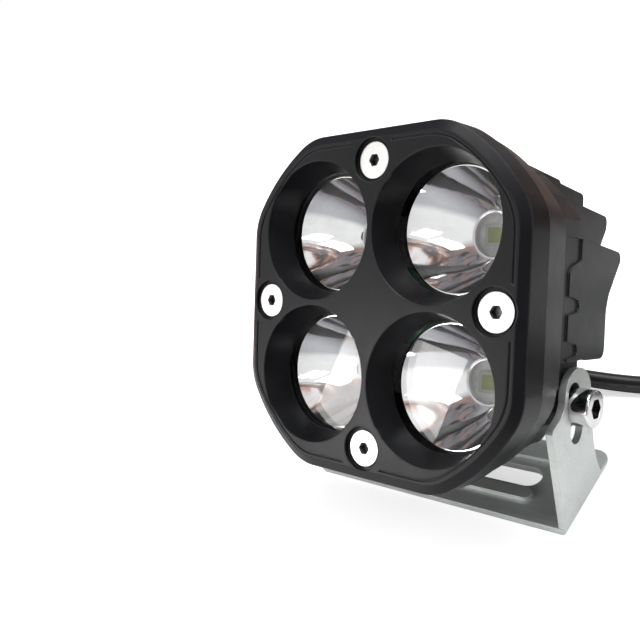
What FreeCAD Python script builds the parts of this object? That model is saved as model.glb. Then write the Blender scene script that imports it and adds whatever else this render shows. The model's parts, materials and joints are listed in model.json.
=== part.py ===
"""A four-lamp cube fog light on its U bracket, with its sealed plug lead.

Millimetres, +Z up, the lit face towards -Y. The origin is the centre of the bracket's underside.
The lamp itself is drawn in the lamp's own frame, where the face lies in the plane Y = 0 and Y runs
backwards along the beam, and is then tipped up about the two pivot bolts.
"""

import FreeCAD, Part
import math
import os

from FreeCAD import Placement, Rotation, Vector

doc = FreeCAD.newDocument("fog_light")
sheet = doc.addObject("Spreadsheet::Sheet", "Sizes")

# Driving dimensions: alias, value in millimetres or degrees, what it is.
SIZES = [
    ("face_half", 38.0, "half the side of the square face"),
    ("corner_reach", 42.4, "radius of the circle that trims the face's corners"),
    ("corner_round", 13.0, "radius between a straight side and a trimmed corner"),
    ("bezel_deep", 8.0, "depth of the front bezel"),
    ("bezel_chamfer", 2.1, "width of the bezel's front chamfer"),
    ("chamfer_deep", 1.2, "depth of the bezel's front chamfer"),
    ("bead_inset", 2.7, "inset of the fine groove inside the chamfer"),
    ("bead_wide", 0.5, "width of the fine groove"),
    ("bead_deep", 0.35, "depth of the fine groove"),
    ("lamp_pitch", 33.0, "distance between the centres of two lamps"),
    ("dish_mouth", 15.9, "radius of a dish at the face"),
    ("dish_throat", 13.9, "radius of a dish at the lens"),
    ("dish_deep", 7.1, "depth of a dish"),
    ("screw_reach", 31.3, "distance from the face's centre to a bezel screw"),
    ("boss_radius", 6.5, "radius of the land round a bezel screw"),
    ("recess_radius", 4.8, "radius of the recess round a screw head"),
    ("recess_deep", 1.2, "depth of that recess"),
    ("head_radius", 4.0, "radius of a countersunk head"),
    ("head_top", 0.9, "depth of a countersunk head's top below the face"),
    ("screw_radius", 2.0, "radius of a bezel screw, M4"),
    ("screw_end", 16.0, "depth at which a bezel screw ends"),
    ("screw_hex", 2.5, "across the flats of a bezel screw's socket"),
    ("lens_front", 7.2, "depth of the lens cover's front"),
    ("lens_thick", 2.0, "thickness of the lens cover"),
    ("lens_inset", 3.6, "inset of the lens cover from the face's outline"),
    ("gasket_thick", 1.2, "thickness of the lens gasket"),
    ("gasket_wide", 3.2, "width of the lens gasket"),
    ("cavity_inset", 7.0, "inset of the housing's cavity"),
    ("floor_front", 27.3, "depth of the housing's inner floor"),
    ("core_end", 31.0, "depth at which the housing's core ends"),
    ("flange_end", 16.0, "depth at which the housing's flange ends"),
    ("flange_inset", 0.9, "inset of the flange at its back"),
    ("core_half", 33.0, "half width of the housing's core between the bracket's ears"),
    ("core_tall", 32.0, "half height of the housing's core"),
    ("core_reach", 38.4, "radius that trims the core's corners"),
    ("fin_pitch", 6.0, "distance between fins"),
    ("fin_thick", 1.8, "thickness of a fin"),
    ("fin_end", 51.0, "depth of the longest fins"),
    ("fin_waist", 39.0, "depth of the fins at the waist"),
    ("fin_reach", 39.6, "radius of the fins' envelope at the flange"),
    ("fin_fall", 0.1, "how far a fin's top falls for each millimetre backwards"),
    ("fin_top", 36.2, "height of the tallest fins"),
    ("fin_bottom", 34.0, "depth of the lowest fins below the centre"),
    ("outer_fin_low", 10.0, "how far the outermost fins reach below the centre"),
    ("ear_sweep", 9.9, "radius kept clear round a pivot for the bracket's ear"),
    ("rim_depth", 10.6, "depth of the reflectors' rims"),
    ("rim_radius", 13.0, "radius of a reflector's mouth"),
    ("focal_length", 2.607, "focal length of a reflector's parabola"),
    ("throat_radius", 4.8, "radius of a reflector's throat"),
    ("bowl_wall", 0.8, "wall of a reflector"),
    ("board_front", 25.4, "depth of the light board's front"),
    ("board_thick", 1.6, "thickness of the light board"),
    ("board_half", 22.0, "half the side of the light board"),
    ("diode_side", 5.0, "side of a light diode's package"),
    ("diode_tall", 1.2, "height of a light diode's package"),
    ("phosphor_side", 3.6, "side of a light diode's phosphor"),
    ("phosphor_tall", 0.15, "height of the phosphor"),
    ("driver_front", 18.6, "depth of the driver board's front"),
    ("driver_half", 9.0, "half the side of the driver board"),
    ("driver_thick", 1.6, "thickness of the driver board"),
    ("pivot_back", 27.8, "depth of the pivot axis behind the face"),
    ("pivot_below", 19.7, "height of the pivot axis below the face's centre"),
    ("rest_pitch", 32.0, "how far the lamp looks up at rest, in degrees"),
    ("ear_outside", 35.5, "half the width over the bracket's ears"),
    ("steel", 1.6, "thickness of the bracket's steel"),
    ("base_deep", 25.9, "depth of the bracket's base"),
    ("base_corner", 3.2, "radius of the base's rear corners"),
    ("base_slot_long", 48.0, "length of the base's slot"),
    ("base_slot_wide", 6.2, "width of the base's slot"),
    ("rib_long", 49.0, "length of a pressed rib"),
    ("rib_wide", 3.2, "width of a pressed rib"),
    ("rib_tall", 0.9, "height of a pressed rib"),
    ("rib_front", -6.0, "place of the front rib"),
    ("rib_back", 7.2, "place of the rear rib"),
    ("slot_centre_back", -8.75, "centre of the ear slot's arc, along Y"),
    ("slot_centre_up", 25.2, "centre of the ear slot's arc, along Z"),
    ("slot_radius", 12.0, "radius of the ear slot's arc"),
    ("slot_sweep", 39.0, "angle of the ear slot's arc"),
    ("slot_place", 13.0, "angle of the bolt below the slot's top end"),
    ("slot_wide", 5.5, "width of the ear's slot"),
    ("bolt_radius", 2.5, "radius of a pivot bolt, M5"),
    ("bolt_long", 10.0, "length of a pivot bolt under its head"),
    ("bolt_head_radius", 4.1, "radius of a pivot bolt's head"),
    ("bolt_head_tall", 4.3, "height of a pivot bolt's head"),
    ("bolt_hex", 4.0, "across the flats of a pivot bolt's socket"),
    ("tap_radius", 2.55, "radius of the hole that holds a pivot bolt"),
    ("gland_below", 12.0, "height of the cable gland below the face's centre"),
    ("gland_radius", 4.2, "radius of the cable gland"),
    ("gland_end", 38.5, "depth at which the gland's nut ends"),
    ("boot_end", 46.5, "depth at which the gland's boot ends"),
    ("cable_radius", 2.2, "radius of the cable"),
    ("coil_radius", 22.0, "radius of the cable's put-away turn"),
    ("coil_right", 52.5, "place of that turn's centre, along X"),
    ("coil_back", 61.2, "place of that turn's centre, along Y"),
    ("plug_start", 69.0, "where the plug starts, along X"),
    ("plug_back", 36.2, "place of the plug's axis, along Y"),
    ("plug_long", 26.0, "length of the plug"),
    ("plug_side", 13.6, "side of the plug"),
]
for row, (alias, value, meaning) in enumerate(SIZES, start=1):
    sheet.set(f"A{row}", alias)
    sheet.set(f"B{row}", str(value))
    sheet.set(f"C{row}", meaning)
    sheet.setAlias(f"B{row}", alias)
doc.recompute()
size = {alias: value for alias, value, meaning in SIZES}

BACKWARD = Rotation(Vector(1, 0, 0), -90)  # turns a primitive's axis to +Y
RIGHTWARD = Rotation(Vector(0, 1, 0), 90)  # turns a primitive's axis to +X
LEFTWARD = Rotation(Vector(0, 1, 0), -90)  # turns a primitive's axis to -X
UPRIGHT = Rotation()
TINY = 0.05  # how far a cutting tool runs past the face that it opens
AROUND = [(1, 0), (0, 1), (-1, 0), (0, -1)]  # right, top, left and bottom of the face
QUARTERS = [("top_left", -1, 1), ("top_right", 1, 1), ("bottom_left", -1, -1), ("bottom_right", 1, -1)]


def bound(words):
    """The expression with each alias written as a cell of the sheet."""
    spaced = str(words)
    for sign in "()*/+-":
        spaced = spaced.replace(sign, f" {sign} ")
    return " ".join("Sizes." + word if word in size else word for word in spaced.split())


def primitive(kind, name, at=(0, 0, 0), turn=UPRIGHT, **sizes):
    """A Part primitive whose sizes and place are bound to the sheet."""
    item = doc.addObject("Part::" + kind, name)
    item.Placement = Placement(Vector(), turn)
    for key, words in sizes.items():
        item.setExpression(key, bound(words))
    for axis, words in zip("xyz", at):
        item.setExpression(f".Placement.Base.{axis}", bound(words))
    return item


def box(name, at, length, width, height):
    return primitive("Box", name, at, Length=length, Width=width, Height=height)


def rod(name, at, radius, height, turn=BACKWARD):
    return primitive("Cylinder", name, at, turn, Radius=radius, Height=height)


def cone(name, at, radius, end_radius, height, turn=BACKWARD):
    return primitive("Cone", name, at, turn, Radius1=radius, Radius2=end_radius, Height=height)


def hexagon(name, at, across, height, turn=BACKWARD):
    """A hexagonal prism, from a Part prism whose corners lie on its circle."""
    return primitive("Prism", name, at, turn, Polygon=6, Circumradius=f"({across})/1.7320508", Height=height)


def fuse(name, items):
    whole = doc.addObject("Part::MultiFuse", name)
    whole.Shapes = items
    return whole


def common(name, items):
    shared = doc.addObject("Part::MultiCommon", name)
    shared.Shapes = items
    return shared


def cut(name, base, tools):
    left = doc.addObject("Part::Cut", name)
    left.Base = base
    left.Tool = tools[0] if len(tools) == 1 else fuse(name + "_tools", tools)
    return left


def rounded(name, base, radius, wanted):
    """Fillets the edges of base for which wanted(edge) holds."""
    doc.recompute()
    edges = [i for i, edge in enumerate(base.Shape.Edges, start=1) if wanted(edge)]
    item = doc.addObject("Part::Fillet", name)
    item.Base = base
    item.Edges = [(i, radius, radius) for i in edges]
    return item


def runs_backward(edge):
    """True for an edge that runs mostly along Y."""
    ends = [vertex.Point for vertex in edge.Vertexes]
    return len(ends) == 2 and abs(ends[1].y - ends[0].y) > 0.9 * edge.Length


def outline(name, start, deep, inset, rounding=None):
    """A prism with the face's outline: a square trimmed by a circle, with rounded joins."""
    side = f"2*(face_half-({inset}))"
    low = f"({inset})-face_half"
    square = box(name + "_square", (low, start, low), side, deep, side)
    disc = rod(name + "_disc", (0, start, 0), f"corner_reach-({inset})", deep)
    trimmed = common(name + "_trimmed", [square, disc])
    radius = size["corner_round"] if rounding is None else rounding
    return rounded(name, trimmed, radius, runs_backward)


def feature(name, shape):
    """A sub-part whose shape is made with Part's own functions."""
    item = doc.addObject("Part::Feature", name)
    item.Shape = shape
    return item


def turned(profile, axis_point, axis):
    """A solid of revolution from a closed list of edges."""
    return Part.Face(Part.Wire(profile)).revolve(axis_point, axis, 360)


def tube(points, radius):
    """A round tube on straight runs joined by tangent arcs, and its arcs' radii.

    Each arc's radius is 0.45 of its shorter run over the tangent of half the turn.
    """
    corners = [Vector(*p) for p in points]
    edges, radii, start = [], [], corners[0]
    for before, here, after in zip(corners, corners[1:], corners[2:]):
        back, forth = before - here, after - here
        half_turn = (math.pi - back.getAngle(forth)) / 2
        reach = 0.45 * min(back.Length, forth.Length)
        radii.append(reach / math.tan(half_turn))
        back.normalize()
        forth.normalize()
        middle = (back + forth).normalize()
        offset = radii[-1] / math.cos(half_turn) - radii[-1]
        first, last = here + back * reach, here + forth * reach
        edges.append(Part.LineSegment(start, first).toShape())
        edges.append(Part.Arc(first, here + middle * offset, last).toShape())
        start = last
    edges.append(Part.LineSegment(start, corners[-1]).toShape())
    path = Part.Wire(edges)
    section = Part.Wire(Part.Circle(corners[0], corners[1] - corners[0], radius).toShape())
    solid = path.makePipeShell([section], True, False)
    true_volume = math.pi * radius * radius * path.Length
    assert abs(solid.Volume / true_volume - 1) < 0.02, "the tube isn't its section times its length"
    return solid, radii, path.Length


sub_parts = {}


def keep(name, item, place=None):
    """Names a finished sub-part, and places it in the row's frame."""
    item.Label = name
    if place is not None:
        doc.recompute()
        item.Placement = place.multiply(item.Placement)
    sub_parts[name] = item
    return item


# The lamp's place: tipped up, with its pivot axis at the bolt's place in the ear's slot.
slot_angle = math.radians(size["slot_place"])
pivot = Vector(
    0,
    size["slot_centre_back"] + size["slot_radius"] * math.cos(slot_angle),
    size["slot_centre_up"] - size["slot_radius"] * math.sin(slot_angle),
)
tipped = Rotation(Vector(1, 0, 0), -size["rest_pitch"])
pivot_in_lamp = Vector(0, size["pivot_back"], -size["pivot_below"])
LAMP = Placement(pivot - tipped.multVec(pivot_in_lamp), tipped)
print("pivot axis", [round(x, 3) for x in pivot], "face centre", [round(x, 3) for x in LAMP.Base])


# ---- front bezel and its screws


def chamfered_outline(name):
    """The bezel's block, with its front edge chamfered."""
    block = outline(name + "_block", 0, "bezel_deep", 0)
    doc.recompute()
    front = [i for i, edge in enumerate(block.Shape.Edges, start=1) if edge.BoundBox.YMax < 0.001]
    item = doc.addObject("Part::Chamfer", name)
    item.Base = block
    item.Edges = [(i, size["chamfer_deep"], size["bezel_chamfer"]) for i in front]
    doc.recompute()
    assert item.Shape.isValid(), "the bezel's chamfer failed"
    return item


def screw_places():
    return [(f"{x}*screw_reach", f"{z}*screw_reach") for x, z in AROUND]


def lamp_places():
    return [(name, f"{x}*lamp_pitch/2", f"{z}*lamp_pitch/2") for name, x, z in QUARTERS]


def make_bezel():
    block = chamfered_outline("bezel_body")
    groove = cut(
        "bezel_groove",
        outline("groove_outer", 0, "bead_deep", "bead_inset"),
        [outline("groove_inner", 0, "bead_deep", "bead_inset+bead_wide")],
    )
    dishes = [
        cone(f"dish_{name}", (x, 0, z), "dish_mouth", "dish_throat", "dish_deep")
        for name, x, z in lamp_places()
    ]
    throats = [
        rod(f"throat_{name}", (x, "dish_deep", z), "dish_throat", "bezel_deep-dish_deep")
        for name, x, z in lamp_places()
    ]
    opened = cut("bezel_opened", block, [groove] + dishes + throats)
    bosses = [
        rod(f"bezel_boss_{i}", (x, 0, z), "boss_radius", "dish_deep")
        for i, (x, z) in enumerate(screw_places())
    ]
    face = outline("bezel_face", 0, "dish_deep", "bezel_chamfer")
    bosses_inside = common("bezel_bosses", [fuse("bezel_boss_set", bosses), face])
    solid = fuse("bezel_with_bosses", [opened, bosses_inside])
    holes = []
    for i, (x, z) in enumerate(screw_places()):
        holes.append(rod(f"recess_{i}", (x, 0, z), "recess_radius", "recess_deep"))
        sink, sink_deep = "head_radius+0.1", "head_radius-screw_radius-0.1"
        holes.append(cone(f"sink_{i}", (x, "recess_deep", z), sink, "screw_radius+0.2", sink_deep))
        holes.append(rod(f"bezel_hole_{i}", (x, 0, z), "screw_radius+0.2", "bezel_deep"))
    pocket = outline("bezel_pocket", "lens_front-0.1", "bezel_deep-lens_front+0.1", "lens_inset-0.2")
    posts = [
        rod(f"bezel_post_{i}", (x, "lens_front-0.1", z), "3.2", "bezel_deep-lens_front+0.1")
        for i, (x, z) in enumerate(screw_places())
    ]
    pocket_round_posts = cut("bezel_pocket_round_posts", pocket, posts)
    keep("front_bezel", cut("front_bezel", solid, holes + [pocket_round_posts]), LAMP)


def make_bezel_screws():
    screws = []
    head_deep = "head_radius-screw_radius"
    for i, (x, z) in enumerate(screw_places()):
        head = cone(f"screw_head_{i}", (x, "head_top", z), "head_radius", "screw_radius", head_deep)
        shank = rod(f"screw_shank_{i}", (x, "head_top", z), "screw_radius", "screw_end-head_top")
        whole = fuse(f"screw_whole_{i}", [head, shank])
        socket = hexagon(f"screw_socket_{i}", (x, "head_top", z), "screw_hex", 1.6)
        screws.append(cut(f"screw_{i}", whole, [socket]))
    group = doc.addObject("Part::Compound", "bezel_screws")
    group.Links = screws
    keep("bezel_screws", group, LAMP)


# ---- lens cover and gasket


def make_lens():
    plate = outline("lens_plate", "lens_front", "lens_thick", "lens_inset")
    notches = [
        rod(f"lens_notch_{i}", (x, "lens_front", z), 3.4, "lens_thick")
        for i, (x, z) in enumerate(screw_places())
    ]
    keep("lens_cover", cut("lens_cover", plate, notches), LAMP)


def make_gasket():
    front = "lens_front+lens_thick"
    ring = cut(
        "gasket_ring",
        outline("gasket_outer", front, "gasket_thick", "lens_inset"),
        [outline("gasket_inner", front, "gasket_thick", "lens_inset+gasket_wide")],
    )
    pads = [
        rod(f"gasket_pad_{i}", (x, front, z), 3.6, "gasket_thick")
        for i, (x, z) in enumerate(screw_places())
    ]
    limit = outline("gasket_limit", front, "gasket_thick", "lens_inset")
    pads_inside = common("gasket_pads", [fuse("gasket_pad_set", pads), limit])
    solid = fuse("gasket_solid", [ring, pads_inside])
    holes = [
        rod(f"gasket_hole_{i}", (x, front, z), "screw_radius+0.15", "gasket_thick")
        for i, (x, z) in enumerate(screw_places())
    ]
    holes += [
        rod(f"gasket_eye_{name}", (x, front, z), "rim_radius+1.1", "gasket_thick") for name, x, z in lamp_places()
    ]
    keep("lens_gasket", cut("lens_gasket", solid, holes), LAMP)


# ---- reflectors, light board and driver


def make_reflectors():
    """Four bowls: a parabola turned about its lamp's axis, open at its throat, with a flat rim."""
    focal, rim, throat = size["focal_length"], size["rim_radius"], size["throat_radius"]
    wall, front = size["bowl_wall"], size["rim_depth"]
    lip = rim + wall

    def depth(radius):
        return front + (rim * rim - radius * radius) / (4 * focal)

    steps = 14
    radii = [rim + (throat - rim) * i / steps for i in range(steps + 1)]
    inner = Part.BSplineCurve()
    inner.interpolate([Vector(r, depth(r), 0) for r in radii])
    outer = Part.BSplineCurve()
    outer.interpolate([Vector(r + wall, depth(r), 0) for r in radii])
    bottom = depth(throat)
    profile = [
        inner.toShape(),
        Part.LineSegment(Vector(throat, bottom, 0), Vector(throat + wall, bottom, 0)).toShape(),
        outer.toShape(),
        Part.LineSegment(Vector(lip, front, 0), Vector(rim, front, 0)).toShape(),
    ]
    bowl = turned(Part.__sortEdges__(profile), Vector(), Vector(0, 1, 0))
    for name, x, z in QUARTERS:
        item = feature(f"reflector_{name}", bowl)
        item.Placement = Placement(Vector(x * size["lamp_pitch"] / 2, 0, z * size["lamp_pitch"] / 2), Rotation())
        keep(f"reflector_{name}", item, LAMP)


def make_light_board():
    half = "board_half"
    plate = box("light_plate", (f"0-{half}", "board_front", f"0-{half}"), f"2*{half}", "board_thick", f"2*{half}")
    corners = rounded("light_plate_round", plate, 4.0, runs_backward)
    holes = [
        rod(f"light_hole_{i}", (f"{x}*18", "board_front", f"{z}*18"), 1.6, "board_thick")
        for i, (x, z) in enumerate(AROUND)
    ]
    holes.append(rod("light_wire_hole", (0, "board_front", "0-gland_below"), 2.6, "board_thick"))
    keep("light_board", cut("light_board", corners, holes), LAMP)
    for node, side, tall, front in [
        ("light_diodes", "diode_side", "diode_tall", "board_front-diode_tall"),
        ("diode_phosphors", "phosphor_side", "phosphor_tall", "board_front-diode_tall-phosphor_tall"),
    ]:
        blocks = [
            box(f"{node}_{name}", (f"{x}-{side}/2", front, f"{z}-{side}/2"), side, tall, side)
            for name, x, z in lamp_places()
        ]
        group = doc.addObject("Part::Compound", node)
        group.Links = blocks
        keep(node, group, LAMP)
    screws = []
    for i, (x, z) in enumerate(AROUND):
        at = (f"{x}*18", f"{z}*18")
        head = rod(f"board_screw_head_{i}", (at[0], "board_front-1.4", at[1]), 2.6, 1.4)
        shank = rod(f"board_screw_shank_{i}", (at[0], "board_front-1.4", at[1]), 1.4, 6.4)
        whole = fuse(f"board_screw_whole_{i}", [head, shank])
        cross = hexagon(f"board_screw_socket_{i}", (at[0], "board_front-1.4", at[1]), 2.0, 0.9)
        screws.append(cut(f"board_screw_{i}", whole, [cross]))
    group = doc.addObject("Part::Compound", "board_screws")
    group.Links = screws
    keep("board_screws", group, LAMP)
    pad = box(
        "thermal_sheet",
        (f"0-{half}", "board_front+board_thick", f"0-{half}"),
        f"2*{half}",
        "floor_front-board_front-board_thick",
        f"2*{half}",
    )
    pad_holes = [
        rod(f"pad_hole_{i}", (f"{x}*18", "board_front+board_thick", f"{z}*18"), 1.6, 1.0)
        for i, (x, z) in enumerate(AROUND)
    ]
    pad_holes.append(rod("pad_wire_hole", (0, "board_front+board_thick", "0-gland_below"), 2.6, 1.0))
    keep("thermal_pad", cut("thermal_pad", pad, pad_holes), LAMP)


def make_driver():
    half, back = "driver_half", "driver_front+driver_thick"
    plate = box("driver_plate", (f"0-{half}", "driver_front", f"0-{half}"), f"2*{half}", "driver_thick", f"2*{half}")
    keep("driver_board", rounded("driver_board", plate, 1.5, runs_backward), LAMP)
    pillars = [
        rod(f"driver_pillar_{i}", (0, back, f"{z}*7.2"), 1.4, "board_front-driver_front-driver_thick")
        for i, z in enumerate((1, -1))
    ]
    group = doc.addObject("Part::Compound", "driver_pillars")
    group.Links = pillars
    keep("driver_pillars", group, LAMP)
    winding = rod("inductor_core", (-4.6, back, 0), 3.3, 4.2)
    keep("driver_inductor", rounded("driver_inductor", winding, 0.6, lambda edge: edge.Closed), LAMP)
    cans = [rod(f"capacitor_{i}", (4.4, back, f"{z}*3.4"), 2.1, 4.6) for i, z in enumerate((1, -1))]
    group = doc.addObject("Part::Compound", "driver_capacitors")
    group.Links = cans
    keep("driver_capacitors", group, LAMP)
    chip = box("chip_block", (-2.5, "driver_front-1.5", -2.0), 5.0, 1.5, 4.0)
    front = size["driver_front"] - 1.5
    keep("driver_chip", rounded("driver_chip", chip, 0.3, lambda edge: edge.CenterOfMass.y < front + 0.01), LAMP)


# ---- housing


def rounded_face(corners):
    """A flat face in the YZ plane from corners (y, z, radius), each corner rounded by its radius."""
    points = [Vector(0, y, z) for y, z, radius in corners]
    edges, ends = [], []
    for i, (y, z, radius) in enumerate(corners):
        here, before, after = points[i], points[i - 1] - points[i], points[(i + 1) % len(points)] - points[i]
        half = before.getAngle(after) / 2
        reach = radius / math.tan(half)
        before.normalize()
        after.normalize()
        first, last = here + before * reach, here + after * reach
        if radius:
            middle = (before + after).normalize()
            top = here + middle * (radius / math.sin(half) - radius)
            edges.append(Part.Arc(first, top, last).toShape())
        ends.append((first, last))
    for i, (first, last) in enumerate(ends):
        edges.append(Part.LineSegment(last, ends[(i + 1) % len(ends)][0]).toShape())
    return Part.Face(Part.Wire(Part.__sortEdges__(edges)))


def fin_face(outer):
    """One fin from the side: its top falls gently to the back, and its rear edge is waisted.

    outer is how far out the fin's outer face is. It sets the fin's height, on the envelope's circle.
    """
    start, end, waist = size["bezel_deep"] + 4, size["fin_end"], size["fin_waist"]
    crown = min(size["fin_top"], math.sqrt(size["fin_reach"] ** 2 - outer**2))
    fall = size["fin_fall"]
    hip, knee = (waist + 1, 4.0), (end, 19.5)

    def top(depth):
        return crown - fall * (depth - size["flange_end"])

    if top(end) > knee[1] + 1:
        tip = [(end, top(end), 1.4), (knee[0], knee[1], 3.0)]
    else:
        slope = (knee[1] - hip[1]) / (knee[0] - hip[0])
        meet = (top(0) - hip[1] + slope * hip[0]) / (slope + fall)
        tip = [(meet, top(meet), 1.6)]
    outermost = outer > 5.5 * size["fin_pitch"]
    low = -size["outer_fin_low"] if outermost else max(-crown, -size["fin_bottom"]) + 1.5
    corner = 2.2 if outermost else 5.5
    return rounded_face(
        [(start, low, 0), (start, top(start), 0)] + tip + [(*hip, 6.0), (waist, 0.5, 6.0), (waist, low, corner)]
    )


def tooth_panels():
    """The shallow toothed panel sunk in each outermost fin's face, ahead of its smooth rear part."""
    sunk = 0.45
    edge = [
        (13.0, 15.6), (26.0, 15.4), (25.9, 11.0), (22.2, 9.6), (21.0, 8.2), (21.0, 3.4), (25.2, 2.7), (25.9, 1.3),
        (25.2, 0.2), (21.1, -0.4), (21.1, -5.8), (25.4, -6.6), (25.7, -8.0), (25.2, -8.9), (21.3, -9.3),
        (21.2, -12.0), (13.0, -12.0),
    ]
    points = [Vector(0, y, z) for y, z in edge]
    face = Part.Face(Part.makePolygon(points + points[:1]))
    outside = 6 * size["fin_pitch"]
    panels = []
    for name, x in (("right", outside - sunk), ("left", -outside - 1)):
        panel = feature(f"tooth_panel_{name}", face.extrude(Vector(1 + sunk, 0, 0)))
        panel.Placement = Placement(Vector(x, 0, 0), Rotation())
        panels.append(panel)
    return panels


def make_fins():
    """Upright plates a fin pitch apart: a middle one, and six on each side."""
    thick, pitch = size["fin_thick"], size["fin_pitch"]
    plates = []
    for i in range(-6, 7):
        outer = abs(i) * pitch if i else thick / 2
        left = i * pitch - thick if i > 0 else i * pitch
        if i == 0:
            left = -thick / 2
        plate = feature(f"fin_{i + 7}", fin_face(outer).extrude(Vector(thick, 0, 0)))
        plate.Placement = Placement(Vector(left, 0, 0), Rotation())
        plates.append(plate)
    return fuse("fins", plates)


def tapered_flange():
    """The housing's flange: the face's outline, drawn in a little towards its back."""
    wedge = doc.addObject("Part::Wedge", "flange_wedge")
    wide, narrow = "face_half-0.15", "face_half-flange_inset"
    for key, words in [
        ("Xmin", f"0-({wide})"), ("Xmax", wide), ("Zmin", f"0-({wide})"), ("Zmax", wide),
        ("X2min", f"0-({narrow})"), ("X2max", narrow), ("Z2min", f"0-({narrow})"), ("Z2max", narrow),
        ("Ymin", "bezel_deep"), ("Ymax", "flange_end"),
    ]:
        wedge.setExpression(key, bound(words))
    reach = "corner_reach-0.15"
    disc = cone("flange_cone", (0, "bezel_deep", 0), reach, "corner_reach-flange_inset-0.3", "flange_end-bezel_deep")
    return rounded("flange", common("flange_trimmed", [wedge, disc]), size["corner_round"] - 1, runs_backward)


def make_housing():
    core_box = box(
        "core_box", ("0-core_half", "bezel_deep", "0-core_tall"), "2*core_half", "core_end-bezel_deep", "2*core_tall"
    )
    core_disc = rod("core_disc", (0, "bezel_deep", 0), "core_reach", "core_end-bezel_deep")
    core = common("core", [core_box, core_disc])
    cheeks = [
        box(f"cheek_{side}", (x, "flange_end-2", "1-outer_fin_low"), 2.2, "core_end-flange_end+2", 20)
        for side, x in (("right", "core_half-0.4"), ("left", "0-core_half-1.8"))
    ]
    seat = "ear_outside-steel-core_half+1-0.05"
    seats = [
        rod(f"seat_{side}", (f"{x}*(core_half-1)", "pivot_back", "0-pivot_below"), 5.0, seat, turn)
        for side, x, turn in (("right", 1, RIGHTWARD), ("left", -1, LEFTWARD))
    ]
    low = "0-outer_fin_low-30"
    ear_ways = []
    for side, x in (("right", "core_half+0.02"), ("left", "0-core_half-5.02")):
        way = box(f"ear_way_{side}", (x, "flange_end+0.01", low), 5, 40, 30)
        ear_ways.append(way)
    for side, x, turn in (("right", "core_half+0.02", RIGHTWARD), ("left", "0-core_half-0.02", LEFTWARD)):
        ear_ways.append(rod(f"ear_turn_{side}", (x, "pivot_back", "0-pivot_below"), "ear_sweep", 5, turn))
    gland_way = rod("gland_way", (0, "core_end", "0-gland_below"), "gland_radius+1.3", 30)
    fins = cut("fins_open", make_fins(), ear_ways + [gland_way] + tooth_panels())
    reliefs = [
        box(f"ear_relief_{side}", (x, "flange_end-1.2", "0-face_half"), 5, 2, "face_half-15")
        for side, x in (("right", "core_half+0.2"), ("left", "0-core_half-5.2"))
    ]
    flange = cut("flange_relieved", tapered_flange(), reliefs)
    shell = fuse("shell", [flange, core, fins] + cheeks + seats)
    inside = "lens_front+lens_thick+gasket_thick"
    cavity = outline("cavity", inside, f"floor_front-({inside})", "cavity_inset", 8.0)
    pocket = outline("lens_pocket", "bezel_deep", f"{inside}-bezel_deep", "lens_inset-0.1")
    rim_rooms = [
        rod(f"rim_room_{name}", (x, inside, z), "rim_radius+bowl_wall+0.3", "flange_end-rim_depth")
        for name, x, z in lamp_places()
    ]
    hollow = cut("housing_hollow", shell, [cavity, pocket] + rim_rooms)
    posts = [
        rod(f"post_{i}", (x, inside, z), 3.8, f"screw_end+2-({inside})") for i, (x, z) in enumerate(screw_places())
    ]
    posts_inside = common("posts", [fuse("post_set", posts), outline("post_limit", inside, 20, "lens_inset")])
    blocks = [
        rod("tap_block_right", ("core_half-8", "pivot_back", "0-pivot_below"), 5.0, 7.5, RIGHTWARD),
        rod("tap_block_left", ("8-core_half", "pivot_back", "0-pivot_below"), 5.0, 7.5, LEFTWARD),
    ]
    filled = fuse("housing_filled", [hollow, posts_inside] + blocks)
    holes = [
        rod(f"post_hole_{i}", (x, "bezel_deep", z), "screw_radius+0.02", "screw_end-bezel_deep+1")
        for i, (x, z) in enumerate(screw_places())
    ]
    holes += [
        rod("tap_right", ("core_half-8.2", "pivot_back", "0-pivot_below"), "tap_radius", 12, RIGHTWARD),
        rod("tap_left", ("8.2-core_half", "pivot_back", "0-pivot_below"), "tap_radius", 12, LEFTWARD),
    ]
    holes += [
        rod(f"board_tap_{i}", (f"{x}*18", "floor_front", f"{z}*18"), 1.42, 3.4) for i, (x, z) in enumerate(AROUND)
    ]
    holes.append(rod("cable_way", (0, "floor_front-1", "0-gland_below"), 2.9, 10))
    keep("housing", cut("housing", filled, holes), LAMP)


# ---- gland, wires, bracket, bolts


def make_gland():
    at = lambda start: (0, start, "0-gland_below")
    nut = hexagon("gland_hexagon", at("core_end"), "2*gland_radius-0.6", "3.5")
    collar = rod("gland_collar", at("core_end"), "gland_radius-0.4", "gland_end-core_end")
    body = fuse("gland_body", [nut, collar])
    keep("cable_gland", cut("cable_gland", body, [rod("gland_bore", at("core_end"), "cable_radius+0.9", 20)]), LAMP)
    boot = cone("boot_cone", at("gland_end"), "gland_radius-0.6", "cable_radius+0.45", "boot_end-gland_end")
    stem = rod("boot_stem", at("core_end"), "cable_radius+0.85", "gland_end-core_end")
    solid = fuse("boot_solid", [boot, stem])
    keep("gland_boot", cut("gland_boot", solid, [rod("boot_bore", at("core_end"), "cable_radius", 20)]), LAMP)


def make_inner_wires():
    """The cable's two cores, from its cut end in the boot to the driver board."""
    below = -size["gland_below"]
    depth = size["floor_front"]
    for node, side in (("wire_positive", 1), ("wire_negative", -1)):
        points = [
            (side * 0.95, size["core_end"] + 2.0, below),
            (side * 0.95, depth - 2.8, below),
            (side * 2.0, depth - 5.0, below + 3.0),
            (side * 2.6, size["driver_front"] + 2.0, below + 4.6),
        ]
        solid, radii, length = tube(points, 0.7)
        keep(node, feature(node, solid), LAMP)


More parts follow.
